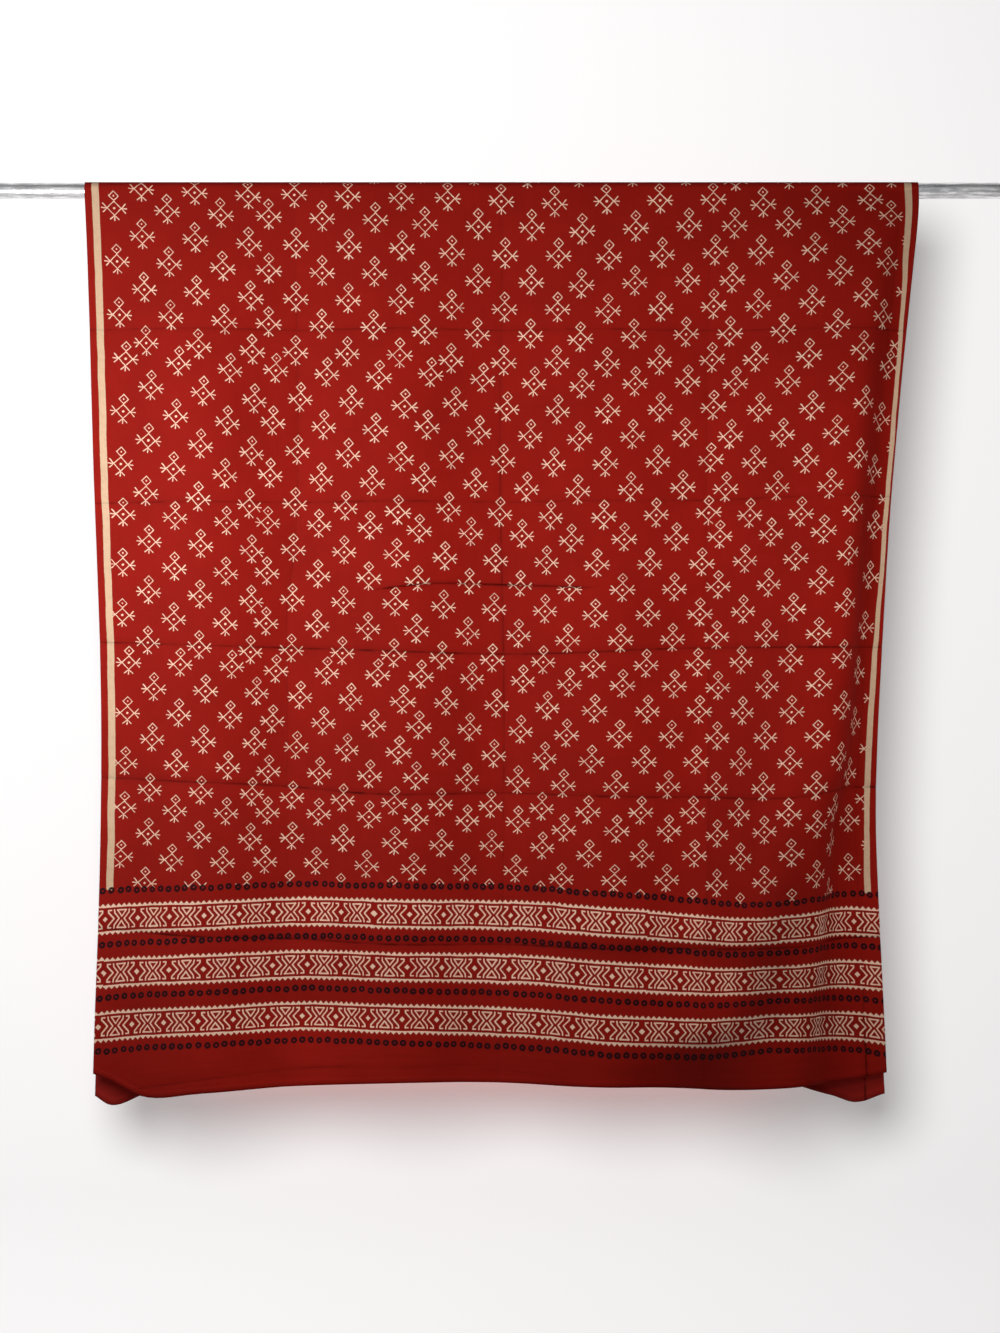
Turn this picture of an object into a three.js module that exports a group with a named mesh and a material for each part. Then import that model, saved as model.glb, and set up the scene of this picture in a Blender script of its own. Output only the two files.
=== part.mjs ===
// A printed cotton dupatta hung over a straight steel rod.
// Millimetres, +Z up. The rod runs along X with its middle at the origin. The cloth
// goes over it, with its front fall on the -Y side and its back fall on the +Y side.
import * as THREE from 'three';
import { mergeVertices } from 'three/addons/utils/BufferGeometryUtils.js';

// Driving dimensions.
const rod = { radius: 10, length: 1300, sides: 32 };
const cloth = { width: 1050, thickness: 1.2, hemDepth: 12, hemThickness: 2.4 };
const clearance = 0.5; // between the rod and the inside of the cloth, at the cloth's corners
const mesh = { fallRows: 16, wrapRows: 12, wideColumns: 20, fineColumns: 10, fineFrom: 840 };

// How far each end hem hangs below the rod's axis, across the cloth from its left selvedge.
const hems = [
  { across: 0, front: 1113, back: 1144 },
  { across: 20, front: 1120, back: 1156 },
  { across: 65, front: 1139, back: 1143 },
  { across: 140, front: 1134, back: 1130 },
  { across: 270, front: 1128, back: 1116 },
  { across: 400, front: 1120, back: 1109 },
  { across: 530, front: 1124, back: 1111 },
  { across: 640, front: 1126, back: 1114 },
  { across: 780, front: 1128, back: 1122 },
  { across: 900, front: 1121, back: 1131 },
  { across: 985, front: 1121, back: 1144 },
  { across: 1010, front: 1119, back: 1152 },
  { across: 1050, front: 1111, back: 1141 },
];

// Where the left selvedge hangs: it draws in below the rod and lets out again at the hem.
const leftSelvedge = [
  { drop: 0, x: -525 },
  { drop: 90, x: -521 },
  { drop: 330, x: -514 },
  { drop: 640, x: -504 },
  { drop: 830, x: -505 },
  { drop: 1115, x: -514 },
  { drop: 1160, x: -515 },
];

// The cloth was stored folded in four lengthwise, so each quarter bows out as it hangs.
const bowing = [
  { drop: 0, out: 0 },
  { drop: 45, out: 8 },
  { drop: 100, out: 15 },
  { drop: 330, out: 27 },
  { drop: 640, out: 32 },
  { drop: 830, out: 32 },
  { drop: 1160, out: 29 },
];
const quarter = cloth.width / 4;
const frontQuarters = [
  { at: 0.5 * quarter, share: 0.9 },
  { at: 1.5 * quarter, share: 1.0 },
  { at: 2.5 * quarter, share: 0.8 },
];
const backQuarters = [
  { at: 0.5 * quarter, share: 1.0 },
  { at: 1.5 * quarter, share: 0.85 },
  { at: 2.5 * quarter, share: 1.1 },
];

// The long fold down the right-hand side: it starts at the selvedge and wanders inwards,
// and the cloth turns back steeply between its crest and the selvedge.
const sideFold = [
  { drop: 0, at: 1000, right: 50, out: 0 },
  { drop: 45, at: 995, right: 55, out: 12 },
  { drop: 120, at: 985, right: 65, out: 24 },
  { drop: 360, at: 965, right: 85, out: 46 },
  { drop: 560, at: 950, right: 98, out: 59 },
  { drop: 700, at: 938, right: 108, out: 66 },
  { drop: 830, at: 915, right: 112, out: 68 },
  { drop: 1160, at: 880, right: 125, out: 60 },
];
const sideFoldLeftReach = 180;
const backFold = { inwards: 15, share: 1.02 }; // how the same fold differs behind

const midRadius = rod.radius + clearance + cloth.thickness / 2;

// A smooth curve through one column of a table.
function follow(table, from, to) {
  const places = table.map((row) => row[from]);
  const values = table.map((row) => row[to]);
  const curve = new THREE.CubicInterpolant(places, values, 1);
  const last = places.length - 1;
  return (place) => curve.evaluate(THREE.MathUtils.clamp(place, places[0], places[last]))[0];
}

const frontDrop = follow(hems, 'across', 'front');
const backDrop = follow(hems, 'across', 'back');
const selvedgeX = follow(leftSelvedge, 'drop', 'x');
const bowOut = follow(bowing, 'drop', 'out');
const foldAt = follow(sideFold, 'drop', 'at');
const foldRight = follow(sideFold, 'drop', 'right');
const foldOut = follow(sideFold, 'drop', 'out');

// One soft lobe: 1 at its crest, 0 at its reach and beyond.
function lobe(offset, leftReach, rightReach) {
  const reach = offset < 0 ? leftReach : rightReach;
  return 0.5 + 0.5 * Math.cos(Math.PI * Math.min(Math.abs(offset) / reach, 1));
}

// How far a fall stands out from the plane where it leaves the rod.
function standOut(side, across, drop) {
  const quarters = side === 'front' ? frontQuarters : backQuarters;
  let out = 0;
  for (const { at, share } of quarters) {
    out += share * bowOut(drop) * lobe(across - at, quarter / 2, quarter / 2);
  }
  const inwards = side === 'front' ? 0 : backFold.inwards;
  const share = side === 'front' ? 1 : backFold.share;
  const fromFold = across - (foldAt(drop) - inwards);
  return out + share * foldOut(drop) * lobe(fromFold, sideFoldLeftReach, foldRight(drop));
}

// The cloth doesn't stretch, so the more it stands out the narrower it hangs.
function hangingX(side, across, drop) {
  const steps = Math.max(1, Math.ceil(across / 5));
  const step = across / steps;
  let x = selvedgeX(drop);
  for (let i = 0; i < steps; i += 1) {
    const rise = standOut(side, (i + 1) * step, drop) - standOut(side, i * step, drop);
    x += Math.sqrt(Math.max(step * step - rise * rise, 0));
  }
  return x;
}

function onFall(side, across, drop) {
  const away = side === 'front' ? -1 : 1;
  const y = away * (midRadius + standOut(side, across, drop));
  return new THREE.Vector3(hangingX(side, across, drop), y, -drop);
}

// turn is 0 where the cloth leaves the rod in front and PI where it leaves it behind.
function overRod(across, turn) {
  const y = -midRadius * Math.cos(turn);
  const z = midRadius * Math.sin(turn);
  return new THREE.Vector3(selvedgeX(0) + across, y, z);
}

// Rows of the cloth from its back hem, over the rod, to its front hem.
function makeRows() {
  const rows = [];
  const fall = (side, share) => ({
    isHem: share > 1,
    place: (across) => {
      const full = side === 'front' ? frontDrop(across) : backDrop(across);
      return onFall(side, across, share > 1 ? full : share * (full - cloth.hemDepth));
    },
  });
  const hemRow = mesh.fallRows + 1;
  for (let i = hemRow; i >= 1; i -= 1) rows.push(fall('back', i / mesh.fallRows));
  for (let i = mesh.wrapRows; i >= 0; i -= 1) {
    const turn = (Math.PI * i) / mesh.wrapRows;
    rows.push({ isHem: false, place: (across) => overRod(across, turn) });
  }
  for (let i = 1; i <= hemRow; i += 1) rows.push(fall('front', i / mesh.fallRows));
  return rows;
}

// Columns across the cloth, closer together over the long fold.
function makeColumns() {
  const columns = [];
  const wide = mesh.fineFrom / mesh.wideColumns;
  const fine = (cloth.width - mesh.fineFrom) / mesh.fineColumns;
  for (let i = 0; i < mesh.wideColumns; i += 1) columns.push(i * wide);
  for (let i = 0; i <= mesh.fineColumns; i += 1) columns.push(mesh.fineFrom + i * fine);
  return columns;
}

// A flat slab with a grid on its two faces, hung point by point. Its top face becomes the
// outside of the cloth, and its inside is thicker along the hems.
function makeDupatta() {
  const rows = makeRows();
  const columns = makeColumns();
  const middle = rows.map((row) => columns.map((across) => row.place(across)));
  const acrossSteps = columns.length - 1;
  const alongSteps = rows.length - 1;

  const outward = (i, j) => {
    const before = middle[Math.max(j - 1, 0)][i];
    const after = middle[Math.min(j + 1, alongSteps)][i];
    const left = middle[j][Math.max(i - 1, 0)];
    const right = middle[j][Math.min(i + 1, acrossSteps)];
    const along = after.clone().sub(before);
    const across = right.clone().sub(left);
    return along.cross(across).normalize();
  };

  const slab = new THREE.BoxGeometry(acrossSteps, 1, alongSteps, acrossSteps, 1, alongSteps);
  slab.deleteAttribute('normal');
  slab.deleteAttribute('uv');
  const points = slab.getAttribute('position');
  for (let k = 0; k < points.count; k += 1) {
    const i = Math.round(points.getX(k) + acrossSteps / 2);
    const j = Math.round(points.getZ(k) + alongSteps / 2);
    const inside = rows[j].isHem ? cloth.hemThickness : cloth.thickness;
    const shift = points.getY(k) > 0 ? cloth.thickness / 2 : cloth.thickness / 2 - inside;
    const place = middle[j][i].clone().addScaledVector(outward(i, j), shift);
    points.setXYZ(k, place.x, place.y, place.z);
  }
  const geometry = mergeVertices(slab);
  geometry.computeVertexNormals();
  const material = new THREE.MeshStandardMaterial({ color: 0x8c1814, roughness: 0.85, metalness: 0 });
  const dupatta = new THREE.Mesh(geometry, material);
  dupatta.name = 'dupatta';
  return dupatta;
}

function makeRod() {
  const geometry = new THREE.CylinderGeometry(rod.radius, rod.radius, rod.length, rod.sides);
  const material = new THREE.MeshStandardMaterial({ color: 0xb4b6b8, roughness: 0.3, metalness: 1 });
  const bar = new THREE.Mesh(geometry, material);
  bar.name = 'rod';
  bar.rotation.z = Math.PI / 2;
  return bar;
}

const model = new THREE.Group();
model.add(makeRod(), makeDupatta());

export default model;
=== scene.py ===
# A printed cotton dupatta hung over a straight steel rod. Metres, +Z up.
import math
import random

import bmesh
import bpy
import numpy as np
from mathutils import Matrix, Vector, noise


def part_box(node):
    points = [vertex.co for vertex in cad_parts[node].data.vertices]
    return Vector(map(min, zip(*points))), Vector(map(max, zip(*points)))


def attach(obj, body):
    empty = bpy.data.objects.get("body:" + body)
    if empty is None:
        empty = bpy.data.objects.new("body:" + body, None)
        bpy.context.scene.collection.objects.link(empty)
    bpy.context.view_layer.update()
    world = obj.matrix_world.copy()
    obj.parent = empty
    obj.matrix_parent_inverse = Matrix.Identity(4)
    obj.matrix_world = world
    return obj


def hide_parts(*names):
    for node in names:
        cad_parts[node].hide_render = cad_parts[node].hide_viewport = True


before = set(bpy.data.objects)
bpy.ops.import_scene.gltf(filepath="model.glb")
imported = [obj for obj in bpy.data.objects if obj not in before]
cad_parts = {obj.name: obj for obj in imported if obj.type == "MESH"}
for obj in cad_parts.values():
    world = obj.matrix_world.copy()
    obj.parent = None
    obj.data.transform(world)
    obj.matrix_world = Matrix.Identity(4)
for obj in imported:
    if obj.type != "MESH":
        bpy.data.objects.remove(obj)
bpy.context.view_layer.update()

rodLow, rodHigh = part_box("rod")
rodRadius = (rodHigh.z - rodLow.z) / 2
print("frame loaded")


# Tables run across the cloth from its left selvedge, or down from the rod's axis.
hang = {
    "width": 1.05,
    "hemDepth": 0.007,
    "clearance": 0.00015,  # between the rod and the inside of the cloth
    "thickness": 0.0005,
    "hemThickness": 0.0013,
    "mostInwards": 0.004,  # behind the plane where a fall leaves the rod
    "longest": 1.2,  # more than either fall's length
    "measuredAt": (421, 241),  # places across and down
    # across, front drop, back drop
    "hems": [
        (0.000, 1.113, 1.144), (0.020, 1.120, 1.156), (0.065, 1.139, 1.143),
        (0.140, 1.134, 1.130), (0.270, 1.128, 1.116), (0.400, 1.120, 1.109),
        (0.530, 1.124, 1.111), (0.640, 1.126, 1.114), (0.780, 1.128, 1.122),
        (0.900, 1.121, 1.131), (0.985, 1.121, 1.144), (1.010, 1.119, 1.152),
        (1.050, 1.111, 1.141),
    ],
    # drop, place of the left selvedge along the rod
    "leftSelvedge": [
        (0.000, -0.525), (0.090, -0.521), (0.330, -0.514), (0.640, -0.504),
        (0.830, -0.505), (1.115, -0.514), (1.160, -0.515),
    ],
    # drop, how far each quarter of the width bows out
    "bowing": [
        (0.000, 0.000), (0.045, 0.008), (0.100, 0.015), (0.330, 0.027),
        (0.640, 0.032), (0.830, 0.032), (1.160, 0.029),
    ],
    "quarters": {"front": (0.9, 1.0, 0.8), "back": (1.0, 0.85, 1.1)},
    # drop, crest across the cloth, reach to the right, height
    "sideFold": [
        (0.000, 1.000, 0.050, 0.000), (0.045, 0.995, 0.055, 0.012),
        (0.120, 0.985, 0.065, 0.024), (0.360, 0.965, 0.085, 0.046),
        (0.560, 0.950, 0.098, 0.059), (0.700, 0.938, 0.108, 0.066),
        (0.830, 0.915, 0.112, 0.068), (1.160, 0.880, 0.125, 0.060),
    ],
    "sideFoldLeftReach": 0.18,
    "sideFoldInwards": {"front": 0, "back": 0.015},
    "sideFoldShare": {"front": 1, "back": 1.02},
}
quarter = hang["width"] / 4
midRadius = rodRadius + hang["clearance"] + hang["thickness"] / 2
halfTurn = math.pi * midRadius


# A smooth curve through one column of a table.
def follow(table, column=1):
    places = np.array([row[0] for row in table], float)
    values = np.array([row[column] for row in table], float)
    secants = np.diff(values) / np.diff(places)
    slopes = np.concatenate((secants[:1], (secants[:-1] + secants[1:]) / 2, secants[-1:]))

    def curve(place):
        place = np.clip(place, places[0], places[-1])
        i = np.clip(np.searchsorted(places, place, side="right") - 1, 0, len(places) - 2)
        gap = places[i + 1] - places[i]
        t = (place - places[i]) / gap
        start = values[i] * (1 + 2 * t) * (1 - t) ** 2 + slopes[i] * gap * t * (1 - t) ** 2
        end = values[i + 1] * t * t * (3 - 2 * t) + slopes[i + 1] * gap * t * t * (t - 1)
        return start + end

    return curve


hemDrop = {"front": follow(hang["hems"], 1), "back": follow(hang["hems"], 2)}
selvedgeX = follow(hang["leftSelvedge"])
bowOut = follow(hang["bowing"])
foldAt, foldRight, foldOut = (follow(hang["sideFold"], column) for column in (1, 2, 3))

creases = {
    # Pressed folds that run across the cloth: (across, drop) points, depth, and how dark its
    # painted shade line is. A tuck also hides some cloth, from one place across to another.
    "crosswise": [
        {"track": [(0.00, 0.177), (1.05, 0.178)], "depth": 0.0008, "line": 0.5},
        {"track": [(0.00, 0.395), (0.32, 0.394), (0.65, 0.393), (0.97, 0.388), (1.05, 0.387)],
         "depth": 0.0010, "line": 0.5},
        {"track": [(0.00, 0.512), (0.33, 0.508), (0.43, 0.497), (0.53, 0.498), (0.64, 0.502),
                   (1.05, 0.503)],
         "depth": 0.0022, "line": 1.0, "hides": 0.0045, "from": 0.37, "to": 0.63},
        {"track": [(0.00, 0.570), (0.34, 0.580), (0.53, 0.585), (0.65, 0.582), (0.71, 0.579),
                   (1.05, 0.576)],
         "depth": 0.0019, "line": 0.9},
        {"track": [(0.00, 0.740), (0.21, 0.749), (0.34, 0.759), (0.53, 0.760), (0.79, 0.765),
                   (0.91, 0.762), (0.96, 0.754), (1.05, 0.752)],
         "depth": 0.0021, "line": 0.9},
        {"track": [(0.00, 0.930), (0.10, 0.936), (0.27, 0.944), (0.52, 0.950), (0.78, 0.954),
                   (0.90, 0.947), (1.05, 0.940)],
         "depth": 0.0024, "line": 1.0},
    ],
    # A soft one above the hem, which the mesh's rows don't follow.
    "nearHem": [
        {"track": [(0.00, 1.142), (0.06, 1.130), (0.14, 1.117), (0.22, 1.110), (0.31, 1.103),
                   (0.40, 1.101), (1.05, 1.108)],
         "depth": 0.0016, "line": 0.4, "from": 0.05, "to": 0.50},
    ],
    # Pressed folds that run down it: (drop, across) points, and where they are strongest.
    "lengthwise": [
        {"track": [(0.00, 0.2625), (0.36, 0.2620), (0.45, 0.2560), (0.53, 0.2440), (0.62, 0.2420),
                   (1.16, 0.2480)],
         "depth": 0.0048, "reach": 0.011, "line": 0.3, "peak": 0.40, "spread": 0.30},
        {"track": [(0.00, 0.5250), (1.16, 0.5250)],
         "depth": 0.0016, "reach": 0.006, "line": 0.45, "peak": 0.50, "spread": 0.42},
        {"track": [(0.00, 0.7875), (0.60, 0.7890), (1.16, 0.7860)],
         "depth": 0.0045, "reach": 0.011, "line": 0.3, "peak": 0.52, "spread": 0.34},
        {"track": [(0.00, 1.0240), (1.16, 1.0250)],
         "depth": 0.0030, "reach": 0.005, "line": 0.9, "peak": 1.12, "spread": 0.09},
    ],
    # Painted shade and light: soft patches on the front are painted darker, as if wide troughs
    # took less light, and one is painted lighter, as if a swell took more. Rows of drop, middle
    # across, half its width, and how much darker it is.
    "paintedPatches": [
        [(0.70, 0.960, 0.050, 0.00), (0.84, 0.915, 0.055, 0.24), (0.95, 0.885, 0.065, 0.38),
         (1.04, 0.855, 0.070, 0.38), (1.09, 0.780, 0.140, 0.50), (1.16, 0.780, 0.140, 0.42)],
        [(0.93, 0.700, 0.200, 0.00), (0.953, 0.720, 0.240, 0.22), (0.975, 0.740, 0.200, 0.00)],
        [(1.02, 0.250, 0.260, 0.00), (1.08, 0.270, 0.300, -0.30), (1.13, 0.290, 0.320, -0.22)],
        [(0.00, 1.000, 0.300, 0.14), (0.16, 1.000, 0.260, 0.05), (0.30, 1.000, 0.240, 0.00)],
    ],
    "reach": 0.007,
    "lapReach": 0.012,
    "usual": 0.72,  # share of a crosswise fold's depth, and how much that comes and goes
    "drift": 0.45,
    "driftSize": 0.11,
    "least": 0.45,
    "lengthwiseLeast": 0.2,  # share of a lengthwise fold far from its peak
    "lengthwiseFrom": 0.05,
    "soften": 0.030,  # over which a fold that doesn't run right across dies away
    "hidingReach": 0.05,
    "seenFrom": 0.010,  # how far from its line a fold is still drawn
}
acrossFolds = creases["crosswise"] + creases["nearHem"]
for fold in acrossFolds + creases["lengthwise"]:
    fold["at"] = follow(fold["track"])
paintedPatches = [[follow(rows, column) for column in (1, 2, 3)] for rows in creases["paintedPatches"]]


def eased(t):
    t = np.clip(t, 0, 1)
    return t * t * (3 - 2 * t)


# How strongly a crosswise fold shows at each place across: it comes and goes.
def crosswiseStrength(fold, across):
    soften = creases["soften"]
    begun = eased((across - fold.get("from", -1)) / soften + 0.5)
    unended = eased((fold.get("to", 2) - across) / soften + 0.5)
    start = fold["track"][0][1]
    places = [Vector((place / creases["driftSize"], start * 40, 5.2)) for place in across]
    share = [creases["usual"] + creases["drift"] * noise.noise(place) for place in places]
    return begun * unended * np.clip(share, creases["least"], 1)


def lengthwiseStrength(fold, drop):
    rise = np.clip(drop / creases["lengthwiseFrom"], 0, 1)
    least = creases["lengthwiseLeast"]
    return rise * (least + (1 - least) * np.exp(-((drop - fold["peak"]) / fold["spread"]) ** 2))


# One soft lobe: 1 at its crest, 0 at its reach and beyond.
def lobe(offset, leftReach, rightReach):
    reach = np.where(offset < 0, leftReach, rightReach)
    return 0.5 + 0.5 * np.cos(np.pi * np.minimum(np.abs(offset) / reach, 1))


# How far a fall stands out from the plane where it leaves the rod.
def standOut(side, across, drop):
    out = np.zeros(np.broadcast(across, drop).shape)
    for i, share in enumerate(hang["quarters"][side]):
        out += share * bowOut(drop) * lobe(across - (i + 0.5) * quarter, quarter / 2, quarter / 2)
    fromFold = across - (foldAt(drop) - hang["sideFoldInwards"][side])
    rise = hang["sideFoldShare"][side] * foldOut(drop)
    return out + rise * lobe(fromFold, hang["sideFoldLeftReach"], foldRight(drop))


# Pressed folds lie behind the surface that they cross.
def pressedIn(across, drop):
    deep = np.zeros(np.broadcast(across, drop).shape)
    for fold in acrossFolds:
        away = np.abs(drop - fold["at"](across))
        deep += fold["depth"] * crosswiseStrength(fold, across) * np.exp(-away / creases["reach"])
        if "hides" in fold:  # the upper part laps over the lower one
            step = np.where(drop < fold["at"](across), -1, 0) * np.exp(-away / creases["lapReach"])
            deep += 2 * fold["depth"] * crosswiseStrength(fold, across) * step
    for fold in creases["lengthwise"]:
        away = np.abs(across - fold["at"](drop))
        deep += fold["depth"] * lengthwiseStrength(fold, drop) * np.exp(-away / fold["reach"])
    return deep


# How much painted shade darkens the front in its soft patches; where negative, painted light
# brightens it.
def paintedShadeAndLightAt(across, drop):
    paintedShadeAndLight = np.zeros(np.broadcast(across, drop).shape)
    for rows, (middle, halfWidth, share) in zip(creases["paintedPatches"], paintedPatches):
        within = (drop >= rows[0][0]) & (drop <= rows[-1][0])
        offset = across - middle(drop)
        paintedShadeAndLight += np.where(within, share(drop) * lobe(offset, halfWidth(drop), halfWidth(drop)), 0)
    return paintedShadeAndLight


# How much further down the printed cloth a drop lies, where a fold hides some of it.
def hiddenBy(across, drop):
    hidden = np.zeros(np.broadcast(across, drop).shape)
    for fold in creases["crosswise"]:
        if "hides" in fold:
            away = drop - fold["at"](across)
            part = np.sign(away) * np.exp(-np.abs(away) / creases["hidingReach"])
            hidden += fold["hides"] / 2 * crosswiseStrength(fold, across) * part
    return hidden


# Signed distance to the nearest fold and how dark its painted shade line is there.
def nearestFold(folds, place, along, strength):
    places = np.array([place - fold["at"](along) for fold in folds])
    lines = np.array([fold["line"] * strength(fold, along) for fold in folds])
    nearest = np.abs(places).argmin(axis=0)[None]
    distance = np.take_along_axis(places, nearest, 0)[0]
    line = np.take_along_axis(lines, nearest, 0)[0]
    return distance, np.where(np.abs(distance) < creases["seenFrom"], line, 0)


# The cloth doesn't stretch, so the more it stands out the narrower it hangs.
def makeHangingX(side):
    columnCount, rowCount = hang["measuredAt"]
    acrossPlaces = np.linspace(0, hang["width"], columnCount)
    dropPlaces = np.linspace(0, hang["longest"], rowCount)
    across, drop = np.meshgrid(acrossPlaces, dropPlaces)
    rise = np.diff(standOut(side, across, drop), axis=1)
    run = np.sqrt(np.maximum(np.diff(across, axis=1) ** 2 - rise ** 2, 0))
    x = np.cumsum(np.insert(run, 0, 0, axis=1), axis=1) + selvedgeX(drop[:, :1])

    def hangingX(across, drop):
        i = np.clip(across / acrossPlaces[1], 0, len(acrossPlaces) - 1.001)
        j = np.clip(drop / dropPlaces[1], 0, len(dropPlaces) - 1.001)
        left, top = i.astype(int), j.astype(int)
        right, low = i - left, j - top
        upper = x[top, left] * (1 - right) + x[top, left + 1] * right
        lower = x[top + 1, left] * (1 - right) + x[top + 1, left + 1] * right
        return upper * (1 - low) + lower * low

    return hangingX


# Shares from 0 to 1 that lie closer together at both ends.
def gradedShares(count, closeness=0.72):
    t = np.arange(count) / count
    return t - closeness * np.sin(2 * np.pi * t) / (2 * np.pi)


dupattaMesh = {
    "columnsPerQuarter": 38,
    "rowsPerPanel": {"front": (20, 22, 13, 10, 19, 18, 24), "back": (13, 15, 9, 7, 14, 13, 13)},
    "besideFold": 0.0005,
    "hemRows": (0.94, 0.5, 0.0),  # shares of the hem's depth
    "wrapRows": 16,
}


# Drops of a fall's rows at each column: they follow the folds and the hem.
def fallRows(side, across):
    hem = hemDrop[side](across)
    beside = dupattaMesh["besideFold"]
    tracks = [fold["at"](across) for fold in creases["crosswise"]]
    starts = [np.zeros_like(across), *(track + beside for track in tracks)]
    ends = [*(track - beside for track in tracks), hem - hang["hemDepth"]]
    rows = []
    for start, end, count in zip(starts, ends, dupattaMesh["rowsPerPanel"][side]):
        rows += [start + share * (end - start) for share in gradedShares(count)] + [end]
        rows.append(end + beside)
    rows.pop()
    rows += [hem - hang["hemDepth"] * share for share in dupattaMesh["hemRows"]]
    return rows


# The whole cloth as arrays, row by row from the back hem over the rod to the front hem.
def layCloth():
    shares = gradedShares(dupattaMesh["columnsPerQuarter"])
    across = np.concatenate([(i + shares) * quarter for i in range(4)] + [[hang["width"]]])
    hangingX = {side: makeHangingX(side) for side in ("front", "back")}
    rows = []  # x, y, z, along, distance from the hem, folds across, folds down, painted shade and light

    def addFall(side, drop):
        away = -1 if side == "front" else 1
        out = standOut(side, across, drop) - pressedIn(across, drop)
        out = np.maximum(out, -hang["mostInwards"])
        x = hangingX[side](across, drop)
        along = drop + hiddenBy(across, drop)
        if side == "back":
            along = -(halfTurn + along)
        crosswise = nearestFold(acrossFolds, drop, across, crosswiseStrength)
        lengthwise = nearestFold(creases["lengthwise"], across, drop, lengthwiseStrength)
        paintedShadeAndLight = paintedShadeAndLightAt(across, drop) if side == "front" else np.zeros_like(across)
        rows.append((x, away * (midRadius + out), -drop, along, hemDrop[side](across) - drop,
                     *crosswise, *lengthwise, paintedShadeAndLight))

    for drop in reversed(fallRows("back", across)[1:]):
        addFall("back", drop)
    none, far = np.zeros_like(across), np.ones_like(across)
    for i in range(dupattaMesh["wrapRows"], -1, -1):
        turn = math.pi * i / dupattaMesh["wrapRows"]
        y, z = -midRadius * math.cos(turn), midRadius * math.sin(turn)
        rows.append((selvedgeX(0) + across, y + none, z + none, -turn * midRadius + none, far,
                     none, none, none, none, none))
    for drop in fallRows("front", across)[1:]:
        addFall("front", drop)
    columns = np.broadcast_to(across, (len(rows), len(across)))
    return columns, *(np.array([row[k] for row in rows]) for k in range(10))


# Small unevenness of worn cotton, in the mesh itself.
wrinkles = {
    "height": 0.0011, "size": 0.075, "fineHeight": 0.00035, "fineSize": 0.022,
    "from": 0.05,  # the drop at which they are reached in full
}


def wrinkleAt(across, along):
    broad = noise.noise(Vector((across / wrinkles["size"], along / wrinkles["size"] * 0.7, 3.1)))
    fine = noise.noise(Vector((across / wrinkles["fineSize"], along / wrinkles["fineSize"], 8.4)))
    return wrinkles["height"] * broad + wrinkles["fineHeight"] * fine


block = {
    "step": 0.0673,  # between the motifs of one block
    "pitch": (0.1955, 0.189),  # between blocks
    "lattices": ((0, 0), (0.034, -0.034)),
    "motifMiddle": 0.00275,
    # For each row of blocks on the front: how the cloth takes up length there, then each
    # block's middle across and along, and the turn of its rows and of its columns in degrees.
    "frontRows": [
        (1.000, [(0.103, -0.099, 4.0, -1.0), (0.299, -0.093, 2.0, 1.0), (0.492, -0.088, 3.0, 1.0),
                 (0.690, -0.0865, -1.0, 0.0), (0.887, -0.083, -2.0, 0.0), (1.083, -0.085, 0.0, 0.0)]),
        (1.000, [(0.105, 0.096, 4.0, -1.0), (0.297, 0.104, 2.0, 1.0), (0.495, 0.113, 1.0, 0.0),
                 (0.693, 0.116, -3.0, 0.0), (0.884, 0.112, -0.5, 1.0), (1.080, 0.105, 0.0, 1.0)]),
        (0.985, [(0.111, 0.2875, 6.5, 4.0), (0.297, 0.298, 4.3, 4.0), (0.498, 0.303, 4.0, 4.0),
                 (0.693, 0.309, -2.5, 2.0), (0.885, 0.311, 1.5, 4.5), (1.091, 0.301, 1.0, 5.2)]),
        (0.940, [(0.104, 0.478, 5.0, 2.5), (0.285, 0.485, 2.6, 2.7), (0.483, 0.493, 2.0, 3.0),
                 (0.678, 0.501, -0.5, 3.0), (0.869, 0.498, 0.0, 2.7), (1.0925, 0.498, 0.0, 3.0)]),
        (0.940, [(0.105, 0.661, 2.0, 2.6), (0.288, 0.670, 1.8, 4.5), (0.481, 0.676, 2.3, 3.0),
                 (0.672, 0.684, 1.2, 3.4), (0.866, 0.688, 0.0, 1.0), (1.076, 0.681, 0.0, 2.0)]),
        (0.915, [(0.097, 0.842, 2.6, 3.0), (0.280, 0.846, 1.3, 2.0), (0.476, 0.852, 1.6, 2.0),
                 (0.667, 0.864, 1.0, 2.0), (0.868, 0.866, -5.0, -0.5), (1.081, 0.865, 0.0, 0.0)]),
    ],
    # How each column of blocks, from its third row down, is drawn together to the left and to
    # the right of its blocks' middles.
    "drawnIn": [(0.95, 1.045), (1.04, 0.98), (1.0, 1.035), (1.01, 0.985), (1.015, 1.0), (1.0, 1.0)],
    "drawnFrom": 2,
    # across, how far the front's field is pulled up beside the long fold
    "pulledUp": [(0.000, 0.0), (0.910, 0.0), (0.951, 0.0025), (0.985, 0.0085), (1.050, 0.009)],
    "pulledFrom": 0.10,  # the drop at which all of that is reached
    "backFirst": (0.103, -0.089),
    "backRows": 5,
    "backLoose": 0.005,
    "backTurn": 3.0,
    "seed": 7,
}


def layBlocks():
    blocks = []
    for i, (shrink, row) in enumerate(block["frontRows"]):
        for (across, along, turn, swing), drawn in zip(row, block["drawnIn"]):
            drawn = drawn if i >= block["drawnFrom"] else (1.0, 1.0)
            blocks.append((across, along, math.radians(turn), math.radians(swing), shrink, drawn))
    dice = random.Random(block["seed"])
    loose = block["backLoose"]
    firstAcross, firstAlong = block["backFirst"]
    for i in range(block["backRows"]):
        for j in range(len(block["drawnIn"])):
            across = firstAcross + j * block["pitch"][0] + dice.uniform(-loose, loose)
            along = firstAlong - (i + 1) * block["pitch"][1] + dice.uniform(-loose, loose)
            turn = math.radians(dice.uniform(-1, 1) * block["backTurn"])
            blocks.append((across, along, turn, turn, 1.0, (1.0, 1.0)))
    return blocks


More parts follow.
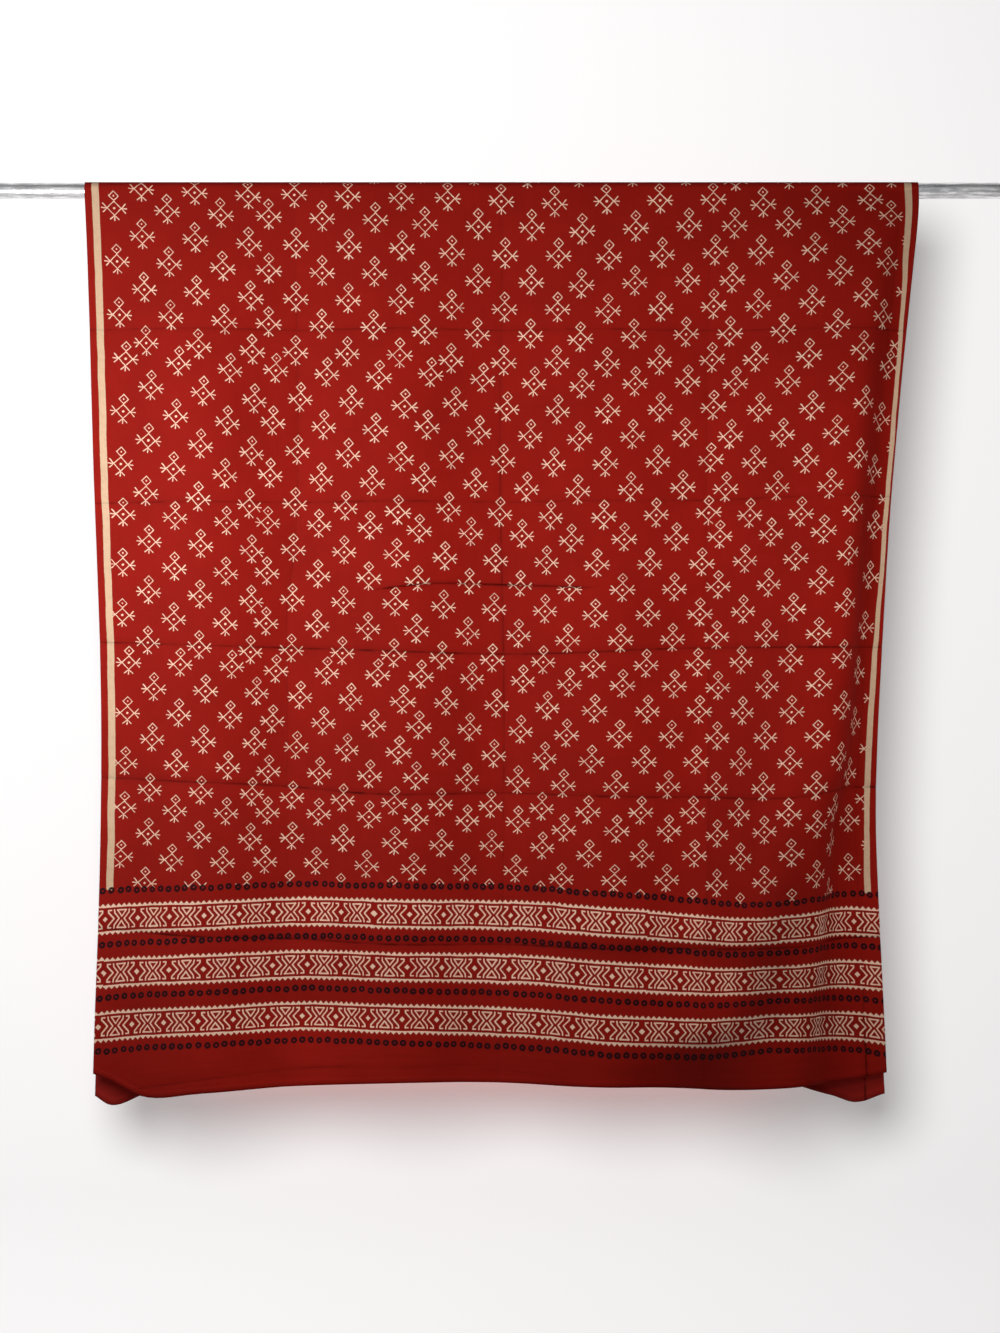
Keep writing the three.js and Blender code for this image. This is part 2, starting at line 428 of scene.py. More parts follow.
# Places in one block's own frame: x to the right, y towards the rod in front. A block's
# rows and columns may be turned by different amounts, because the cloth is pulled askew.
def inBlock(across, along, blockPlace, lattice):
    middleAcross, middleAlong, turn, swing, shrink, drawn = blockPlace
    right, down = across - middleAcross, (along - middleAlong) / shrink
    right = right * np.where(right < 0, drawn[0], drawn[1])
    square = math.cos(turn - swing)
    x = (right * math.cos(swing) + down * math.sin(swing)) / square
    y = (right * math.sin(turn) - down * math.cos(turn)) / square
    return x - lattice[0], y - lattice[1]


# Each face belongs to the block whose nearest motif is nearest to it.
def chooseBlocks(across, along, blocks, lattice):
    nearest = np.full(across.shape, np.inf)
    chosen = np.zeros(across.shape, int)
    for i, blockPlace in enumerate(blocks):
        x, y = inBlock(across, along, blockPlace, lattice)
        away = np.array([x, y - block["motifMiddle"]])
        motif = np.clip(np.round(away / block["step"]), -1, 1)
        far = np.abs(away - block["step"] * motif).max(axis=0)
        chosen[far < nearest] = i
        nearest = np.minimum(far, nearest)
    return chosen


# The border is printed by eye across the cloth, so it wanders against the hem.
border = {
    "pitch": 0.065,  # from one band to the next
    "tips": -0.0039,  # tips of the first band's upper teeth, from its upper line
    "lastRings": 0.1753,  # the fourth row of rings, from the same line
    # across, drop of the first tips, drop of the last rings
    "front": [
        (0.000, 0.900, 1.086), (0.040, 0.897, 1.081), (0.115, 0.893, 1.074),
        (0.200, 0.891, 1.072), (0.400, 0.890, 1.070), (0.525, 0.894, 1.078),
        (0.600, 0.897, 1.081), (0.705, 0.904, 1.088), (0.780, 0.910, 1.089),
        (0.840, 0.911, 1.080), (0.880, 0.908, 1.074), (0.930, 0.904, 1.076),
        (1.010, 0.902, 1.083), (1.050, 0.904, 1.088),
    ],
    # across, height of the first tips and of the last rings above the back hem
    "back": [
        (0.000, 0.238, 0.056), (0.200, 0.234, 0.051), (0.450, 0.236, 0.055),
        (0.700, 0.231, 0.049), (0.880, 0.236, 0.054), (1.050, 0.233, 0.050),
    ],
}


# How far below the first band's upper line a place lies, as the printer saw it.
def borderDown(side, across, drop):
    first, last = (follow(border[side], column)(across) for column in (1, 2))
    if side == "back":
        first, last = hemDrop[side](across) - first, hemDrop[side](across) - last
    share = (drop - first) / (last - first)
    return border["tips"] + share * (border["lastRings"] - border["tips"])


# A finished mesh as a piece of the scene.
def madeObject(bm, name, *materials):
    mesh = bpy.data.meshes.new(name)
    bm.to_mesh(mesh)
    bm.free()
    for material in materials:
        mesh.materials.append(material)
    piece = bpy.data.objects.new(name, mesh)
    bpy.context.scene.collection.objects.link(piece)
    return piece


def makeDupatta():
    across, x, y, z, along, fromHem, *folds = layCloth()
    rowCount, columnCount = across.shape
    bm = bmesh.new()
    bmesh.ops.create_grid(bm, x_segments=columnCount - 1, y_segments=rowCount - 1, size=0.5)
    clothMap = bm.loops.layers.uv.new("clothMap")
    butiMaps = [bm.loops.layers.uv.new("butiMap" + name) for name in ("One", "Two")]
    borderMap = bm.loops.layers.uv.new("borderMap")
    hemLayer = bm.verts.layers.float.new("fromHem")
    crosswiseLayer = bm.verts.layers.float_vector.new("crosswiseFold")
    lengthwiseLayer = bm.verts.layers.float_vector.new("lengthwiseFold")
    paintedShadeAndLightLayer = bm.verts.layers.float.new("paintedShadeAndLight")
    stripeLayer = bm.verts.layers.float_vector.new("stripePlace")
    onRightFront = (across > hang["width"] / 2) & (along > 0)
    stripeMiddle = np.where(onRightFront, follow(stripe["rightFront"], 1)(along), stripe["middle"])
    stripeHalf = np.where(onRightFront, follow(stripe["rightFront"], 2)(along), stripe["half"])
    places = {}
    for vert in bm.verts:
        i = round((vert.co.x + 0.5) * (columnCount - 1))
        j = round((vert.co.y + 0.5) * (rowCount - 1))
        places[vert] = (j, i)
        vert[hemLayer] = fromHem[j, i]
        vert[crosswiseLayer] = (folds[0][j, i], folds[1][j, i], 0)
        vert[lengthwiseLayer] = (folds[2][j, i], folds[3][j, i], 0)
        vert[paintedShadeAndLightLayer] = folds[4][j, i]
        vert[stripeLayer] = (stripeMiddle[j, i], stripeHalf[j, i], 0)
        vert.co = (x[j, i], y[j, i], z[j, i])
    bmesh.ops.reverse_faces(bm, faces=bm.faces[:])  # the printed face looks outwards
    for vert in bm.verts:
        j, i = places[vert]
        if -halfTurn < along[j, i] < 0:
            continue
        fade = min(1.0, -z[j, i] / wrinkles["from"])
        vert.co -= vert.normal * fade * wrinkleAt(across[j, i], along[j, i])

    # One place per face, then a block for it in each lattice.
    blocks = layBlocks()
    pulled = follow(block["pulledUp"])(across) * eased(along / block["pulledFrom"])
    printed = along + pulled
    corners = [[places[loop.vert] for loop in face.loops] for face in bm.faces]
    rowsOf = np.array([[j for j, i in corner] for corner in corners])
    columnsOf = np.array([[i for j, i in corner] for corner in corners])
    cornerAcross, cornerAlong = across[rowsOf, columnsOf], printed[rowsOf, columnsOf]
    faceAcross, faceAlong = cornerAcross.mean(axis=1), cornerAlong.mean(axis=1)
    chosen = [chooseBlocks(faceAcross, faceAlong, blocks, each) for each in block["lattices"]]
    isFront = faceAlong > -halfTurn / 2
    down = {
        "front": borderDown("front", across, along),
        "back": borderDown("back", across, -along - halfTurn),
    }
    for n, face in enumerate(bm.faces):
        face.smooth = True
        side = "front" if isFront[n] else "back"
        for loop, j, i in zip(face.loops, rowsOf[n], columnsOf[n]):
            u, v = across[j, i], along[j, i]
            loop[clothMap].uv = (u, v)
            loop[borderMap].uv = (u, down[side][j, i])
            for layer, choice, lattice in zip(butiMaps, chosen, block["lattices"]):
                loop[layer].uv = inBlock(u, printed[j, i], blocks[choice[n]], lattice)
    cloth = madeObject(bm, "dupattaCloth", makeCotton("face"), makeCotton("reverse"))

    hemGroup = cloth.vertex_groups.new(name="hem")
    fromHem = cloth.data.attributes["fromHem"].data
    hemVerts = [i for i in range(len(fromHem)) if fromHem[i].value < hang["hemDepth"] * 0.98]
    hemGroup.add(hemVerts, 1.0, "REPLACE")
    thick = cloth.modifiers.new("thickness", "SOLIDIFY")
    thick.thickness = hang["hemThickness"]
    thick.offset = 0
    thick.vertex_group = "hem"
    thick.thickness_vertex_group = hang["thickness"] / hang["hemThickness"]
    thick.material_offset = 1
    thick.material_offset_rim = 0
    return cloth


# A wire in a node tree. The usual signs, and the words below, add Math nodes to it.
class Wire:
    def __init__(self, socket):
        self.socket = socket

    def __rsub__(self, other):
        return maths("SUBTRACT", other, self)


mathsWords = {
    "__add__": "ADD", "__sub__": "SUBTRACT", "__mul__": "MULTIPLY", "__truediv__": "DIVIDE",
    "__abs__": "ABSOLUTE", "line": "MULTIPLY_ADD", "rounded": "ROUND", "floored": "FLOOR",
    "fraction": "FRACT", "sine": "SINE", "atLeast": "MAXIMUM", "atMost": "MINIMUM",
    "above": "GREATER_THAN",
}
for word, operation in mathsWords.items():
    setattr(Wire, word, lambda *values, operation=operation: maths(operation, *values))


def put(socket, value):
    if isinstance(value, Wire):
        socket.id_data.links.new(value.socket, socket)
    else:
        socket.default_value = value


def newNode(tree, kind, values, **settings):
    node = tree.nodes.new("ShaderNode" + kind)
    for name, setting in settings.items():
        setattr(node, name, setting)
    for name, value in values.items():
        put(node.inputs[name], value)
    return node


# A new node's wire. The node goes into the tree that its own wires come from.
def worked(kind, values, output=0, tree=None, **settings):
    if tree is None:
        tree = next(value.socket.id_data for value in values.values() if isinstance(value, Wire))
    return Wire(newNode(tree, kind, values, **settings).outputs[output])


def maths(operation, *values, clamp=False):
    return worked("Math", dict(enumerate(values)), operation=operation, use_clamp=clamp)


def vectorMaths(operation, *values):
    output = "Value" if operation in ("DOT_PRODUCT", "LENGTH") else "Vector"
    return worked("VectorMath", dict(enumerate(values)), output, operation=operation)


def scaled(vector, factor):
    return worked("VectorMath", {0: vector, "Scale": factor}, "Vector", operation="SCALE")


def joined(x, y):
    return worked("CombineXYZ", {"X": x, "Y": y})


def parts(vector, names="XY"):
    node = worked("SeparateXYZ", {0: vector}).socket.node
    return [Wire(node.outputs[name]) for name in names]


# A smooth step.
def ramped(value, low, high, toLow=0.0, toHigh=1.0):
    ends = {"From Min": low, "From Max": high, "To Min": toLow, "To Max": toHigh}
    return worked("MapRange", {"Value": value, **ends}, interpolation_type="SMOOTHSTEP")


def noiseOf(vector, scale, detail=2.0, roughness=0.5, output="Fac"):
    values = {"Vector": vector, "Scale": scale, "Detail": detail, "Roughness": roughness}
    return worked("TexNoise", values, output)


# A random shift for each whole x and y.
def chanceAt(x, y, size):
    colour = worked("TexWhiteNoise", {"Vector": joined(x, y)}, "Color", noise_dimensions="2D")
    return shiftFrom(colour, size)


def shiftFrom(colour, size):
    return scaled(vectorMaths("SUBTRACT", colour, (0.5, 0.5, 0.5)), size)


def mixed(factor, first, second):
    return worked("Mix", {0: factor, 6: first, 7: second}, 2, data_type="RGBA")


def mixedShaders(factor, first, second):
    return worked("MixShader", {0: factor, 1: first, 2: second})


def newGroup(name, vectors, numbers, outputs):
    tree = bpy.data.node_groups.new(name, "ShaderNodeTree")
    for title in vectors:
        tree.interface.new_socket(title, in_out="INPUT", socket_type="NodeSocketVector")
    for title in numbers:
        tree.interface.new_socket(title, in_out="INPUT", socket_type="NodeSocketFloat")
    for title in outputs:
        tree.interface.new_socket(title, in_out="OUTPUT", socket_type="NodeSocketFloat")
    inputs = {socket.name: Wire(socket) for socket in tree.nodes.new("NodeGroupInput").outputs}
    return tree, inputs, tree.nodes.new("NodeGroupOutput").inputs


def placed(group, values):
    node = worked("Group", values, node_tree=group).socket.node
    return {socket.name: Wire(socket) for socket in node.outputs}


def newMaterial(name):
    material = bpy.data.materials.new(name)
    material.use_nodes = True
    material.node_tree.nodes.clear()
    return material, material.node_tree


# Faces seen from behind are clear.
def clearBehind(tree, shader):
    behind = worked("NewGeometry", {}, "Backfacing", tree)
    return mixedShaders(behind, shader, worked("BsdfTransparent", {}, tree=tree))


# Signed distance to a carved stroke, wider or narrower at its far end.
def stroke(place, start, end, startHalf, endHalf):
    step = Vector((end[0] - start[0], end[1] - start[1], 0))
    fromStart = vectorMaths("SUBTRACT", place, (*start, 0))
    share = vectorMaths("DOT_PRODUCT", fromStart, step / step.length_squared)
    share = maths("ADD", share, 0.0, clamp=True)
    away = vectorMaths("SUBTRACT", fromStart, scaled(step, share))
    return vectorMaths("LENGTH", away) - share.line(endHalf - startHalf, startHalf)


def diamondLine(x, y, reach, half):
    return abs(x + abs(y) - reach).line(math.sqrt(0.5), -half)


def dot(x, y, radius):
    return vectorMaths("LENGTH", joined(x, y)) - radius


def nearest(distances):
    found = distances[0]
    for distance in distances[1:]:
        found = found.atMost(distance)
    return found


perMetre = 1000  # the print and the weave are worked out in millimetres

# The field's motif, from the middle of its large diamond.
buti = {
    "largeDiamond": 8.95,
    "smallDiamond": 5.95,
    "smallMiddle": 15.7,
    "largeDot": 1.5,
    "smallDot": 0.95,
    "line": 0.51,  # half its width
    "strokeRoot": 0.45,
    "strokeTip": 0.65,
    "unevenness": 1.1,
    "unevenSize": 0.22,
    "strokes": [
        ((9, 0), (14.3, 5.8)), ((9, 0), (15.8, 0)), ((9, 0), (14, -5.2)),
        ((0, -9), (5.3, -14)), ((0, -9), (0, -15.4)),
    ],
}


# One lattice of the field: three by three motifs in a block's own frame.
def makeButiGroup():
    tree, inputs, outputs = newGroup("butiLattice", ["Place"], [], ["Ink"])
    step = block["step"] * perMetre

    def fromMotif(value, shift):
        cell = value.line(1 / step, -shift / step).rounded().atMost(1.0).atLeast(-1.0)
        return cell.line(-step, value)

    x, y = parts(scaled(inputs["Place"], perMetre))
    place = joined(fromMotif(x, 0), fromMotif(y, block["motifMiddle"] * perMetre))
    uneven = noiseOf(place, buti["unevenSize"], 1.0, output="Color")
    x, y = parts(vectorMaths("ADD", place, shiftFrom(uneven, buti["unevenness"])))
    x = abs(x)
    here = joined(x, y)
    upper = y - buti["smallMiddle"]
    distances = [
        diamondLine(x, y, buti["largeDiamond"], buti["line"]),
        diamondLine(x, upper, buti["smallDiamond"], buti["line"]),
        dot(x, y, buti["largeDot"]),
        dot(x, upper, buti["smallDot"]),
    ]
    for start, end in buti["strokes"]:
        distances.append(stroke(here, start, end, buti["strokeRoot"], buti["strokeTip"]))
    put(outputs["Ink"], nearest(distances))
    return tree


# One unit of the border's band, from the middle of its hourglass.
band = {
    "unit": 43.9,
    "unitsPerBlock": 4,
    "starts": 9.0,  # in from the left selvedge
    "lastStarts": 5.0,
    "last": 2,
    "middle": 15.2,  # below the band's upper line
    "lineHalf": 0.75,
    "strokeHalf": 0.86,
    "strokes": [
        ((0, 10.7), (5.9, 10.7)), ((5.9, 10.7), (0, 2.6)),
        ((10, 11), (9.5, 7.2)), ((9.5, 7.2), (3.4, 0)),
        ((14.2, 10.6), (17.8, 10.6)), ((17.8, 10.6), (17.5, 7.8)), ((17.5, 7.8), (10.2, 0)),
    ],
    "endDiamond": 3.5,
    "tooth": 7.067,
    "toothHeight": 3.4,
    "toothRoot": 0.5,  # how far a tooth starts from the middle of its line
    "toothSlope": 0.7,
    "slip": 0.9,  # how far a block may be set off its neighbour
    "unevenness": 2.0,
    "unevenSize": 0.035,
}
rings = {"above": 19.7, "pitch": 11.0, "outer": 4.1, "hole": 1.05, "slip": 0.8, "rows": 4}


def makeBandGroup():
    tree, inputs, outputs = newGroup("borderBands", ["Place"], [], ["Ink", "Rings"])
    pitch = border["pitch"] * perMetre
    place = scaled(inputs["Place"], perMetre)
    uneven = noiseOf(place, band["unevenSize"], 1.0, output="Color")
    x, y = parts(vectorMaths("ADD", place, shiftFrom(uneven, band["unevenness"])))
    printedX, printedY = x, y

    # The band that this place lies nearest to, then the block within it.
    bandIndex = y.line(1 / pitch, -band["middle"] / pitch).rounded()
    bandIndex = bandIndex.atMost(float(band["last"])).atLeast(0.0)
    y = bandIndex.line(-pitch, y) - band["middle"]
    isLast = bandIndex.above(band["last"] - 0.5)
    shifted = x - isLast.line(band["lastStarts"] - band["starts"], band["starts"])
    blockIndex = (shifted / (band["unit"] * band["unitsPerBlock"])).floored()
    slipX, slipY = parts(chanceAt(blockIndex, bandIndex, 2 * band["slip"]))
    x = shifted + slipX
    y = y + slipY

    # Mirror into a quarter of one unit.
    turns = (x / band["unit"]).fraction()
    unitX = abs(turns.line(band["unit"], -band["unit"] / 2))
    unitY = abs(y)
    here = joined(unitX, unitY)
    half = band["strokeHalf"]
    distances = [stroke(here, start, end, half, half) for start, end in band["strokes"]]
    endDiamond = band["unit"] / 2 - unitX + unitY - band["endDiamond"]
    distances.append(endDiamond * math.sqrt(0.5))

    # The two lines and their teeth, which point away from the band.
    beyond = unitY - band["middle"]
    distances.append(abs(beyond) - band["lineHalf"])
    side = abs((x / band["tooth"]).fraction() - 0.5)
    height = band["toothHeight"]
    edge = side.line(-2 * height, height + band["toothRoot"])
    distances.append(((beyond - edge) * band["toothSlope"]).atLeast(beyond * -1.0))
    put(outputs["Ink"], nearest(distances))

    # Rings are stamped in rows between the bands, each a little off its place.
    rowIndex = printedY.line(1 / pitch, rings["above"] / pitch).rounded()
    rowIndex = rowIndex.atMost(rings["rows"] - 1.0).atLeast(0.0)
    y = rowIndex.line(-pitch, printedY) + rings["above"]
    ringIndex = (printedX / rings["pitch"]).floored()
    x = ringIndex.line(-rings["pitch"], printedX) - rings["pitch"] / 2
    slipped = vectorMaths("ADD", joined(x, y), chanceAt(ringIndex, rowIndex, 2 * rings["slip"]))
    fromMiddle = vectorMaths("LENGTH", joined(*parts(slipped)))
    middleRadius = (rings["outer"] + rings["hole"]) / 2
    put(outputs["Rings"], abs(fromMiddle - middleRadius) - (rings["outer"] - middleRadius))
    return tree


stripe = {
    "middle": 13.5,  # in from the selvedge
    "half": 4.5,
    "endAbove": 20.5,
    "corner": 2.5,
    "softness": 0.35,
    "sway": 2.4,
    "swaySize": 0.02,
    # On the right in front it was painted nearer the selvedge: drop, middle, half its width.
    "rightFront": [
        (0.00, 13.5, 4.5), (0.06, 12.0, 4.1), (0.13, 9.0, 3.1), (0.20, 6.6, 2.7),
        (0.30, 5.5, 2.9), (0.46, 5.8, 2.9), (0.53, 7.4, 2.9), (0.63, 10.0, 3.8),
        (0.72, 11.0, 3.9), (0.79, 11.3, 3.3), (0.87, 13.2, 4.0),
    ],
}

ink = {
    # noise size, and how much further or less far the printed edge reaches
    "ragged": (0.55, 0.8),
    "heavy": (0.03, 0.6),
    "softness": 0.35,  # of the pale lines' edges
    "ringSoftness": 0.6,
    # for a patchy print: noise size, detail, from, to, and how pale it gets
    "patchyLines": (0.9, 3.0, 0.25, 0.5, 0.8),
    "patchyStripes": (0.12, 4.0, 0.2, 0.6, 0.86),
    "patchyBlack": (0.35, 3.0, 0.3, 0.55, 0.85),
    "fieldEnds": (1.0, 2.0),  # above the middle of the first rings
    "fieldSides": (-0.5, 0.5),  # in from the middle of the stripe
    "borderStarts": (-6.0, -5.0),  # below the first band's upper line
}


# The whole print: where the resist kept the cloth pale and where the black went on.
def makePrintGroup():
    tree, inputs, outputs = newGroup(
        "dupattaPrint", ["Cloth", "Buti One", "Buti Two", "Border", "Stripe"], [],
        ["Lines", "Stripes", "Black"])
    butiGroup = makeButiGroup()
    butis = [inputs["Buti One"], inputs["Buti Two"]]
    motifs = [placed(butiGroup, {"Place": place})["Ink"] for place in butis]
    bands = placed(makeBandGroup(), {"Place": inputs["Border"]})
    cloth = scaled(inputs["Cloth"], perMetre)
    raggedSize, ragged = ink["ragged"]
    heavySize, heavy = ink["heavy"]
    press = (noiseOf(cloth, raggedSize, 2.0, 0.6) - 0.5) * ragged
    press = press + (noiseOf(cloth, heavySize, 1.0) - 0.5) * heavy

    def inked(distance, soft):
        return ramped(distance + press, soft, -soft)

    def patchy(kind):
        size, detail, low, high, least = ink[kind]
        return ramped(noiseOf(cloth, size, detail, 0.7), low, high, least, 1.0)

    clothX, clothY = parts(cloth)
    halfWidth = hang["width"] * perMetre / 2
    fromSelvedge = halfWidth - abs(clothX - halfWidth)
    stripeMiddle, stripeHalf = parts(inputs["Stripe"])
    fromStripe = fromSelvedge - stripeMiddle

    # The field stops at the first row of rings and at the stripes.
    x, y = parts(scaled(inputs["Border"], perMetre))
    near, far = ink["fieldEnds"]
    inField = ramped(y, -rings["above"] - near, -rings["above"] - far)
    inField = inField * ramped(fromStripe, *ink["fieldSides"])
    field = inked(nearest(motifs), ink["softness"]) * inField
    belt = inked(bands["Ink"], ink["softness"]) * ramped(y, *ink["borderStarts"])
    put(outputs["Lines"], field.atLeast(belt) * patchy("patchyLines"))

    # The side stripes are painted freehand, and end squarely above the border.
    side = (clothX / (halfWidth * 2)).rounded()
    sway = noiseOf(joined(side * 7.0, clothY * stripe["swaySize"]), 1.0, 2.0) - 0.5
    across = abs(sway.line(stripe["sway"], fromStripe))
    corner = stripe["corner"]
    pastSide = (across - (stripeHalf - corner)).atLeast(0.0)
    pastEnd = (y + (stripe["endAbove"] + corner)).atLeast(0.0)
    painted = inked(dot(pastSide, pastEnd, corner), stripe["softness"])
    put(outputs["Stripes"], painted * patchy("patchyStripes"))
    put(outputs["Black"], inked(bands["Rings"], ink["ringSoftness"]) * patchy("patchyBlack"))
    return tree


weave = {
    "threads": 2.6,  # to the millimetre
    "slubSize": (1.6, 0.02),  # across the thread and along it
    "slubs": 0.16,
    "crumpleSize": 0.045,
    "dyeSize": 0.012,
    "dye": 0.35,
    "stitchAt": 6.2,  # above the hem's edge
    "stitchPitch": 2.6,
    "stitchStarts": (0.2, 0.35),  # shares of its pitch
    "stitchEdge": (0.35, 0.15),
    "hemSoftness": 0.3,
    "foldLineFadeSize": 0.035,
    "worn": (0.38, 0.62, 0.45, 1.0),  # from, to, and how much of a fold's painted dark line shows there
    "foldLine": (2.2, 0.3),  # from where a fold's painted dark line shows, and from where in full
    "foldReach": 9.0,  # how far painted shade beside it reaches too
    "foldBeside": 0.16,
    "foldDarkness": 0.85,
    "streaks": 0.34,
    "streakSize": (0.008, 0.16),
    "streaksFrom": (58.0, 43.5),  # above the hem's edge, in the plain end
    "threadShade": 0.03,
    # painted shade: the hem's double layer lets less light through
    "hemShade": -0.15,
    "stitchShade": 0.25,
    # how high each stands
    "threadHeight": 0.05,
    "slubHeight": 0.25,
    "crumpleHeight": 1.6,
    "stitchHeight": -0.3,
    "foldDepth": 0.5,
}


# Threads, slubs, worn folds and the hem's stitches, on the cloth's own map.
def makeWeaveGroup():
    tree, inputs, outputs = newGroup(
        "voileWeave", ["Cloth", "Across Fold", "Down Fold"], ["From Hem", "Painted Shade And Light"],
        ["Height", "Shade", "Light"])
    cloth = scaled(inputs["Cloth"], perMetre)
    x, y = parts(cloth)
    turn = math.pi * weave["threads"]
    threads = (x * turn).sine() * (y * turn).sine()
    thin, long = weave["slubSize"]
    warpSlub = noiseOf(joined(x * thin, y * long), 1.0, 2.0, 0.6)
    weftSlub = noiseOf(joined(x * long, y * thin), 1.0, 2.0, 0.6)
    slubs = warpSlub + weftSlub - 1.0
    crumple = noiseOf(cloth, weave["crumpleSize"], 4.0, 0.55)
    dye = noiseOf(cloth, weave["dyeSize"], 3.0, 0.55)

    # Painted shade: a fold's dark line, and a softer darkening beside it. The line comes and goes
    # along the fold.
    worn = ramped(noiseOf(cloth, weave["foldLineFadeSize"], 2.0, 0.6), *weave["worn"])

    def foldShade(fold):
        distance, strength = parts(fold)
        away = abs(distance * perMetre)
        line = ramped(away, *weave["foldLine"]) * worn
        beside = ramped(away, weave["foldReach"], 0.0)
        return line.atLeast(beside * weave["foldBeside"]) * strength

    folds = foldShade(inputs["Across Fold"]).atLeast(foldShade(inputs["Down Fold"]))

    # A running stitch holds the hem.
    fromHem = inputs["From Hem"] * perMetre
    dash = ramped((x / weave["stitchPitch"]).fraction(), *weave["stitchStarts"])
    stitch = ramped(abs(fromHem - weave["stitchAt"]), *weave["stitchEdge"]) * dash
    # Painted shade: the hem's double layer is painted darker, for the light that it lets through
    # less.
    hemEdge, soft = hang["hemDepth"] * perMetre, weave["hemSoftness"]
    inHem = ramped(fromHem, hemEdge + soft, hemEdge - soft)

    height = threads.line(weave["threadHeight"], slubs * weave["slubHeight"])
    height = crumple.line(weave["crumpleHeight"], height)
    height = stitch.line(weave["stitchHeight"], height)
    put(outputs["Height"], folds.line(-weave["foldDepth"], height))
    shade = slubs.line(weave["slubs"], 1.0)
    shade = (dye - 0.5).line(weave["dye"], shade)
    shade = threads.line(weave["threadShade"], shade)
    # Painted shade and sheen of crumples: lighter and darker streaks along the weft, in the plain end
    # above the hem.
    long, thin = weave["streakSize"]
    streaks = noiseOf(joined(x * long, fromHem * thin), 1.0, 4.0, 0.6) - 0.5
    streaks = streaks * ramped(fromHem, *weave["streaksFrom"])
    shade = streaks.line(weave["streaks"], shade)
    # Painted shade along the folds and in the hem's double layer; the stitches are paler thread.
    for part, change in ((inHem, weave["hemShade"]), (stitch, weave["stitchShade"]),
                         (folds, -weave["foldDarkness"])):
        shade = shade * part.line(change, 1.0)
    put(outputs["Shade"], shade)
    # Painted shade and light of the front's soft patches, as a factor for the whole colour.
    put(outputs["Light"], 1.0 - inputs["Painted Shade And Light"])
    return tree


cotton = {
    "red": (0.300, 0.0100, 0.0056),
    "lines": (0.97, 0.67, 0.49),
    "stripes": (0.73, 0.505, 0.326),
    "black": (0.014, 0.004, 0.006),
    "glow": 1.5,  # the light that comes through is brighter and redder than the face
    "roughness": 0.78,
    "gloss": 0.1,
    "letsThrough": 0.2,
    "bump": 0.35,
    "bumpDistance": 0.001,
    "bounce": (0.36, 0.045, 0.032),  # the cloth's mean colour, for the light that it passes on
    # how strongly the print and its black show, and how much paler the ground is
    "face": (1.0, 1.0, 0.0),
    "reverse": (0.7, 0.55, 0.006),
}
printGroup = makePrintGroup()
weaveGroup = makeWeaveGroup()


def makeCotton(side):
    material, tree = newMaterial("cotton" + side.capitalize())
    printShare, blackShare, pale = cotton[side]

    def mapOf(layer):
        return worked("UVMap", {}, tree=tree, uv_map=layer)

    def onCloth(attribute, output="Vector"):
        return worked("Attribute", {}, output, tree, attribute_name=attribute)

    woven = placed(weaveGroup, {
        "Cloth": mapOf("clothMap"), "From Hem": onCloth("fromHem", "Fac"),
        "Across Fold": onCloth("crosswiseFold"), "Down Fold": onCloth("lengthwiseFold"),
        "Painted Shade And Light": onCloth("paintedShadeAndLight", "Fac")})
    printed = placed(printGroup, {
        "Cloth": mapOf("clothMap"), "Buti One": mapOf("butiMapOne"),
        "Buti Two": mapOf("butiMapTwo"), "Border": mapOf("borderMap"),
        "Stripe": onCloth("stripePlace")})
    ground = tuple(channel + (1 - channel) * pale for channel in cotton["red"])
    paleShade = woven["Shade"].line(0.5, 0.5)
    colour = scaled(ground, woven["Shade"])
    for part in ("Lines", "Stripes"):
        dyed = scaled(cotton[part.lower()], paleShade)
        colour = mixed(printed[part] * printShare, colour, dyed)
    colour = mixed(printed["Black"] * blackShare, colour, (*cotton["black"], 1))
    # The soft patches' painted shade and light scale the whole colour, print included.
    colour = scaled(colour, woven["Light"])
    bump = worked("Bump", {
        "Strength": cotton["bump"], "Distance": cotton["bumpDistance"], "Height": woven["Height"]})
    cloth = worked("BsdfPrincipled", {
        "Base Color": colour, "Roughness": cotton["roughness"],
        "Specular IOR Level": cotton["gloss"], "Normal": bump})
    glow = worked("BsdfTranslucent", {"Color": scaled(colour, cotton["glow"]), "Normal": bump})
    lit = mixedShaders(cotton["letsThrough"], cloth, glow)

    # Light on its way elsewhere meets the mean colour.
    bounce = cotton["bounce"]
    through = [cotton["glow"] * channel for channel in bounce]
    bounced = worked("BsdfDiffuse", {"Color": (*bounce, 1)}, tree=tree)
    passed = worked("BsdfTranslucent", {"Color": (*through, 1)}, tree=tree)
    onward = mixedShaders(cotton["letsThrough"], bounced, passed)
    solid = mixedShaders(worked("LightPath", {}, "Is Camera Ray", tree), onward, lit)

    # Inside the sheet's own thickness light crosses the cloth once.
    newNode(tree, "OutputMaterial", {"Surface": clearBehind(tree, solid)})
    return material


dupatta = makeDupatta()
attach(dupatta, "root")
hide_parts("dupatta")
print("dupatta hung")


tube = {
    "wall": 0.0012,
    "chamfer": 0.0004,
    "chamferSteps": 3,
    "plugRim": 0.0002,
    "plugDepth": 0.0003,
    "sides": 72,
    "rings": 26,
    "bright": (0.90, 0.90, 0.91, 1),
    "worn": (0.46, 0.465, 0.475, 1),
    "roughness": (0.08, 0.32),  # bright and worn
    # how far they are drawn out along the tube, size, detail
    "lines": (0.03, 1100.0, 3.0),
    "scuffs": (0.16, 260.0, 4.0),
    "lineWear": 0.6,  # how much the lines add to the wear
    "scuffHeight": 0.8,
    "wornFrom": (0.62, 0.98),
    "bump": 0.3,
    "bumpDistance": 0.0004,
}


